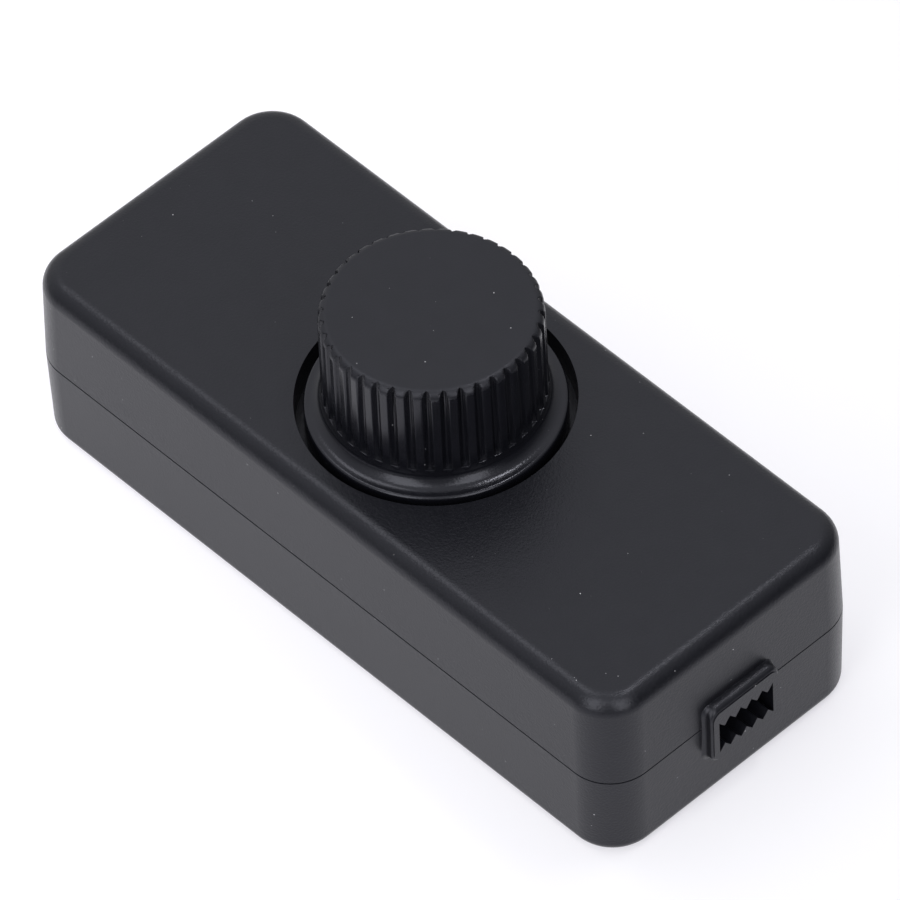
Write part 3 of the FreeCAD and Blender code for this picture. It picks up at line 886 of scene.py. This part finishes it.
def soft_box(name, direction, long_axis, length, width, radiance):
    """An area lamp that faces the object. Its power follows from how bright its face should look."""
    outward = Vector(direction).normalized()
    across = outward.cross(Vector(long_axis)).normalized()
    along = across.cross(outward)
    turn = Matrix((along, across, outward)).transposed().to_euler()
    bpy.ops.object.select_all(action="DESELECT")
    bpy.ops.object.light_add(type="AREA", location=outward * lamp_distance, rotation=turn)
    lamp = bpy.context.object
    lamp.name = name
    lamp.data.shape = "RECTANGLE"
    lamp.data.size = length
    lamp.data.size_y = width
    lamp.data.energy = radiance * math.pi * length * width
    print(name, "shines with", round(lamp.data.energy, 2), "W")


soft_box("soft_left", (-0.36, -0.12, 0.925), (0.34, -0.13, 0.11), length=0.40, width=0.20, radiance=3.0)
soft_box("panel_left", (0.22, -0.81, 0.545), upright, length=0.85, width=0.36, radiance=3.0)
soft_box("panel_right", (0.84, -0.21, 0.5), upright, length=0.80, width=0.32, radiance=3.0)
soft_box("small_back", (0.15, 0.28, 0.945), (-0.18, 0.16, -0.02), length=0.22, width=0.045, radiance=30.0)
bpy.context.scene.view_settings.view_transform = "Standard"

# %% [markdown]
# ## Shared surface effects
#
# Several finishes need the same small effects, so each effect is a node group: it takes a place on the
# piece and a few numbers, and gives back a value that changes over the surface. Moulds are spark-eroded,
# which leaves a fine even grain. Dust settles as tiny pale specks. Rolled and turned metal has fine
# parallel lines, and paper laminate shows its fibres. All of them read Object coordinates, so the pattern
# stays on the piece when the knob turns.


# %% Starting a group
def new_group(name, numbers, results):
    """A node group with a place as its first input, more numbers as inputs, and values as outputs."""
    group = bpy.data.node_groups.new(name, "ShaderNodeTree")
    group.interface.new_socket(name="Place", in_out="INPUT", socket_type="NodeSocketVector")
    for number, value in numbers.items():
        socket = group.interface.new_socket(name=number, in_out="INPUT", socket_type="NodeSocketFloat")
        socket.default_value = value
    for result in results:
        group.interface.new_socket(name=result, in_out="OUTPUT", socket_type="NodeSocketFloat")
    return group, group.nodes.new("NodeGroupInput").outputs, group.nodes.new("NodeGroupOutput").inputs


def noise(tree, place, scale, detail, roughness=0.6, distortion=0.0):
    """A cloudy value, mostly near one half."""
    node = add_node(tree, "TexNoise", {"Vector": place, "Scale": scale, "Detail": detail,
                                       "Roughness": roughness, "Distortion": distortion})
    return node.outputs["Fac"]


print("ready to build groups")

# %% Spark grain and dust
usual_noise = (0.3, 0.7)
cloud_share = 0.09

spark_grain, way_in, way_out = new_group("spark_grain", {"Per metre": 6500.0}, ["Height", "Cloud"])
fine = noise(spark_grain, way_in["Place"], way_in["Per metre"], detail=1.5)
slower = calculate(spark_grain, "MULTIPLY", way_in["Per metre"], cloud_share)
broad = noise(spark_grain, way_in["Place"], slower, detail=2.0, roughness=0.55)
spark_grain.links.new(span(spark_grain, fine, 0, 1, *usual_noise), way_out["Height"])
spark_grain.links.new(span(spark_grain, broad, 0, 1, *usual_noise), way_out["Cloud"])

dust, way_in, way_out = new_group("dust", {"Per metre": 450.0, "Size": 0.045}, ["Speck"])
cells = add_node(dust, "TexVoronoi", {"Vector": way_in["Place"], "Scale": way_in["Per metre"],
                                      "Randomness": 1.0}, feature="F1").outputs
chance = add_node(dust, "SeparateColor", {"Color": cells["Color"]}).outputs
speck_reach = calculate(dust, "MULTIPLY", chance[0], way_in["Size"])
speck = calculate(dust, "LESS_THAN", cells["Distance"], speck_reach)
dust.links.new(calculate(dust, "MULTIPLY", speck, chance[1]), way_out["Speck"])
print("groups:", spark_grain.name, "and", dust.name)

# %% Metal lines and laminate fibres
drawn_lines, way_in, way_out = new_group(
    "drawn_lines", {"Along X": 60.0, "Along Y": 4000.0, "Along Z": 4000.0}, ["Line"])
stretch = add_node(drawn_lines, "CombineXYZ", {0: way_in["Along X"], 1: way_in["Along Y"],
                                               2: way_in["Along Z"]}).outputs[0]
drawn = add_node(drawn_lines, "VectorMath", {0: way_in["Place"], 1: stretch}, operation="MULTIPLY").outputs[0]
streak = noise(drawn_lines, drawn, scale=1.0, detail=3.0)
drawn_lines.links.new(span(drawn_lines, streak, 0, 1, *usual_noise), way_out["Line"])

half_way = 0.5
mottle, way_in, way_out = new_group("mottle", {"Per metre": 900.0, "Spread": 0.2}, ["Patch"])
patch = noise(mottle, way_in["Place"], way_in["Per metre"], detail=4.0, distortion=0.4)
least = calculate(mottle, "SUBTRACT", half_way, way_in["Spread"])
most = calculate(mottle, "ADD", half_way, way_in["Spread"])
mottle.links.new(span(mottle, patch, 0, 1, least, most), way_out["Patch"])
print("groups:", drawn_lines.name, "and", mottle.name)


# %% Starting and ending a finish
def start_finish(name, **constants):
    """A material with its shader and the Object coordinates that its patterns read."""
    material = bpy.data.materials.new(name)
    material.use_nodes = True
    tree = material.node_tree
    shader = tree.nodes["Principled BSDF"]
    for socket, value in constants.items():
        shader.inputs[socket.replace("_", " ")].default_value = value
    place = add_node(tree, "TexCoord").outputs["Object"]
    return material, tree, shader, place


def add_group(tree, group, place, **numbers):
    """A group in a material, with its own numbers."""
    node = add_node(tree, "Group", node_tree=group)
    tree.links.new(place, node.inputs["Place"])
    for number, value in numbers.items():
        node.inputs[number.replace("_", " ")].default_value = value
    return node.outputs


def end_finish(tree, shader, colour, roughness, height, depth):
    """Gives the shader its colour and roughness, and a bump: a height of 0 to 1 times a depth."""
    bump = add_node(tree, "Bump", {"Height": height, "Distance": depth, "Strength": 1.0})
    tree.links.new(colour, shader.inputs["Base Color"])
    tree.links.new(roughness, shader.inputs["Roughness"])
    tree.links.new(bump.outputs["Normal"], shader.inputs["Normal"])


finishes = {}
print("ready to mix finishes")

# %% [markdown]
# ## Black mouldings
#
# The shells are moulded in black plastic from a spark-eroded tool: nearly black itself, a little blue,
# and bright only where it mirrors the room. The grain breaks that mirror up, so it goes into both the
# bump and the roughness. The knob is the same plastic from a smoother tool: satin on its skirt, polished
# along its flutes and as matte as the shells on its flat top. Real pieces also carry a few specks of
# dust, which keep large black faces from looking drawn.

# %% Shells
dust_colour = (0.42, 0.42, 0.44)
dust_numbers = {"Per_metre": 650.0, "Size": 0.052}
black_gloss = {"Specular_IOR_Level": 0.36, "Specular_Tint": (0.88, 0.89, 1.0, 1)}


def dusty_black(tree, place, cloud, first, second):
    """Two near blacks mixed by a cloud, with specks of dust on them."""
    specks = add_group(tree, dust, place, **dust_numbers)["Speck"]
    return blend_colours(tree, specks, blend_colours(tree, cloud, first, second), dust_colour)


material, tree, shader, place = start_finish("housing_plastic", **black_gloss)
grain = add_group(tree, spark_grain, place, Per_metre=4000.0)
colour = dusty_black(tree, place, grain["Cloud"], (0.0040, 0.0042, 0.0060), (0.0050, 0.0052, 0.0072))
end_finish(tree, shader, colour, span(tree, grain["Height"], 0.29, 0.37), grain["Height"], 0.011 * MM)
finishes["housing"] = material
print(material.name, len(tree.nodes), "nodes")

# %% Knob
top_fade = (knob_top - 1.2 * MM, knob_top - 0.2 * MM)
skirt_fade = (flange_top + 1.2 * MM, flange_top + 2.0 * MM)

material, tree, shader, place = start_finish("knob_plastic", **black_gloss)
grain = add_group(tree, spark_grain, place, Per_metre=4200.0)
colour = dusty_black(tree, place, grain["Cloud"], (0.0044, 0.0046, 0.0065), (0.0054, 0.0056, 0.0078))
height = add_node(tree, "SeparateXYZ", {0: place}).outputs["Z"]
topness = span(tree, height, 0, 1, *top_fade)
skirtness = span(tree, height, 1, 0, *skirt_fade)
satin = span(tree, grain["Height"], 0.16, 0.24)
matte = span(tree, grain["Height"], 0.36, 0.46)
gloss = add_node(tree, "Mix", {0: topness, 2: satin, 3: matte}, data_type="FLOAT").outputs[0]
grained = calculate(tree, "ADD", skirtness, topness)
end_finish(tree, shader, colour, gloss, calculate(tree, "MULTIPLY", grain["Height"], grained), 0.005 * MM)
finishes["knob"] = material
print(material.name, len(tree.nodes), "nodes")

# %% [markdown]
# ## Inner mouldings and bodies
#
# Inside are plain parts of several plastics: white nylon, grey nylon blocks, black switch and device
# bodies, a yellow capacitor box and a dipped red capacitor. While the dimmer is closed they show only
# through the slots, yet each gets a finish of its own.
# They share one recipe: two near shades mixed by a soft mottle, a grain in the bump and a roughness that
# follows the grain.

# %% Moulded finishes
patch_share = 0.1


def moulded(slot, first, second, smooth, rough, grains, depth):
    material, tree, shader, place = start_finish(slot + "_finish")
    patches = add_group(tree, mottle, place, Per_metre=grains * patch_share)["Patch"]
    grain = add_group(tree, spark_grain, place, Per_metre=grains)["Height"]
    colour = blend_colours(tree, patches, first, second)
    end_finish(tree, shader, colour, span(tree, grain, smooth, rough), grain, depth)
    finishes[slot] = material


moulded("shaft_nylon", (0.72, 0.70, 0.62), (0.78, 0.76, 0.69), 0.36, 0.46, 3000.0, 0.006 * MM)
moulded("block_nylon", (0.60, 0.62, 0.60), (0.66, 0.68, 0.66), 0.38, 0.5, 2500.0, 0.008 * MM)
moulded("switch_moulding", (0.045, 0.045, 0.047), (0.058, 0.058, 0.060), 0.42, 0.55, 5000.0, 0.008 * MM)
moulded("epoxy", (0.026, 0.026, 0.027), (0.036, 0.036, 0.037), 0.45, 0.62, 7000.0, 0.006 * MM)
moulded("capacitor_yellow", (0.78, 0.53, 0.05), (0.84, 0.58, 0.08), 0.3, 0.4, 2600.0, 0.006 * MM)
moulded("capacitor_red", (0.38, 0.05, 0.025), (0.46, 0.075, 0.04), 0.16, 0.28, 700.0, 0.05 * MM)
moulded("choke_case", (0.08, 0.08, 0.09), (0.11, 0.11, 0.12), 0.4, 0.55, 4000.0, 0.01 * MM)
moulded("fuse_case", (0.11, 0.055, 0.036), (0.14, 0.07, 0.046), 0.25, 0.36, 2600.0, 0.008 * MM)
print("moulded finishes:", len(finishes))

# %% [markdown]
# ## Boards
#
# The circuit board and the track board of the potentiometer are paper laminate: brown, with long fibres
# that lie in layers. The same drawn lines that make brushed metal, stretched less, give the fibres, and a
# mottle on top gives the uneven resin.


# %% Laminate finishes
def laminate(slot, first, second, smooth, rough):
    material, tree, shader, place = start_finish(slot + "_finish")
    fibres = add_group(tree, drawn_lines, place, Along_X=300.0, Along_Y=1800.0, Along_Z=5000.0)["Line"]
    patches = add_group(tree, mottle, place, Per_metre=500.0)["Patch"]
    colour = blend_colours(tree, calculate(tree, "MULTIPLY", fibres, patches), first, second)
    end_finish(tree, shader, colour, span(tree, fibres, smooth, rough), fibres, 0.008 * MM)
    finishes[slot] = material


laminate("board", (0.40, 0.25, 0.10), (0.54, 0.37, 0.18), 0.42, 0.54)
laminate("track_board", (0.25, 0.135, 0.05), (0.36, 0.21, 0.09), 0.45, 0.57)
print("laminates:", [name for name in finishes if "board" in name])

# %% [markdown]
# ## Metals
#
# The metal parts differ mostly in colour and in how they were made. Sheet is rolled, so it shows fine
# lines one way. Plated screws and nuts are dull and slightly blotchy. Tinned leads are soft and cloudy. A
# metal's colour is the colour of its mirror image, so the base colour is bright and the metallic value is
# one.


# %% Metal finishes
def metal(slot, first, second, smooth, rough, lines=None, depth=0.004 * MM):
    """A metal with blotches, or with drawn lines where their stretch along X, Y and Z is given."""
    material, tree, shader, place = start_finish(slot + "_finish", Metallic=1.0)
    patches = add_group(tree, mottle, place, Per_metre=1200.0)["Patch"]
    marks = patches
    if lines:
        along_x, along_y, along_z = lines
        marks = add_group(tree, drawn_lines, place, Along_X=along_x, Along_Y=along_y, Along_Z=along_z)["Line"]
    colour = blend_colours(tree, patches, first, second)
    end_finish(tree, shader, colour, span(tree, marks, smooth, rough), marks, depth)
    finishes[slot] = material


metal("zinc_steel", (0.56, 0.56, 0.54), (0.68, 0.68, 0.66), 0.28, 0.46)
metal("nickel_plate", (0.62, 0.60, 0.56), (0.70, 0.68, 0.64), 0.22, 0.34, (1500.0, 1500.0, 6000.0))
metal("tinned_metal", (0.64, 0.64, 0.64), (0.75, 0.75, 0.75), 0.24, 0.4)
metal("sheet_aluminium", (0.66, 0.67, 0.68), (0.75, 0.76, 0.77), 0.3, 0.44, (80.0, 5000.0, 5000.0))
metal("spring_steel", (0.40, 0.40, 0.41), (0.50, 0.50, 0.51), 0.26, 0.4, (80.0, 5000.0, 5000.0))
metal("clamp_brass", (0.66, 0.49, 0.21), (0.77, 0.60, 0.28), 0.26, 0.42, (120.0, 4000.0, 4000.0))
print("finishes in all:", len(finishes))

# %% [markdown]
# ## Putting it together
#
# Each new piece now takes over from its plain node, which is hidden, rides on the same body and gets its
# finish. All other nodes keep their own shape and only change their material.

# %% Pieces and nodes
for piece, node, body, slot in (
        (upper, "upper_shell", "housing", "housing"), (lower, "lower_shell", "housing", "housing"),
        (knob, "knob", "control", "knob"), (screw, "case_screws", "housing", "zinc_steel")):
    piece.data.materials.clear()
    piece.data.materials.append(finishes[slot])
    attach(piece, body)
    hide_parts(node)

inner_finishes = {
    "zinc_steel": ["pot_cover", "terminal_screws"], "shaft_nylon": ["pot_shaft"],
    "nickel_plate": ["pot_bushing", "pot_nut"], "track_board": ["pot_wafer"],
    "tinned_metal": ["pot_terminals", "switch_terminals", "triac_leads"],
    "switch_moulding": ["switch_case"], "board": ["circuit_board"],
    "epoxy": ["triac_body", "diac", "resistors"], "sheet_aluminium": ["heat_sink"],
    "spring_steel": ["heat_sink_spring"], "capacitor_yellow": ["suppression_capacitor"],
    "capacitor_red": ["timing_capacitor"], "choke_case": ["choke"], "fuse_case": ["fuse"],
    "block_nylon": ["line_terminal_block", "lamp_terminal_block"], "clamp_brass": ["terminal_clamps"]}
for slot, nodes in inner_finishes.items():
    for node in nodes:
        for material_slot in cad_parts[node].material_slots:
            material_slot.material = finishes[slot]
print("inner nodes dressed:", sum(len(nodes) for nodes in inner_finishes.values()))
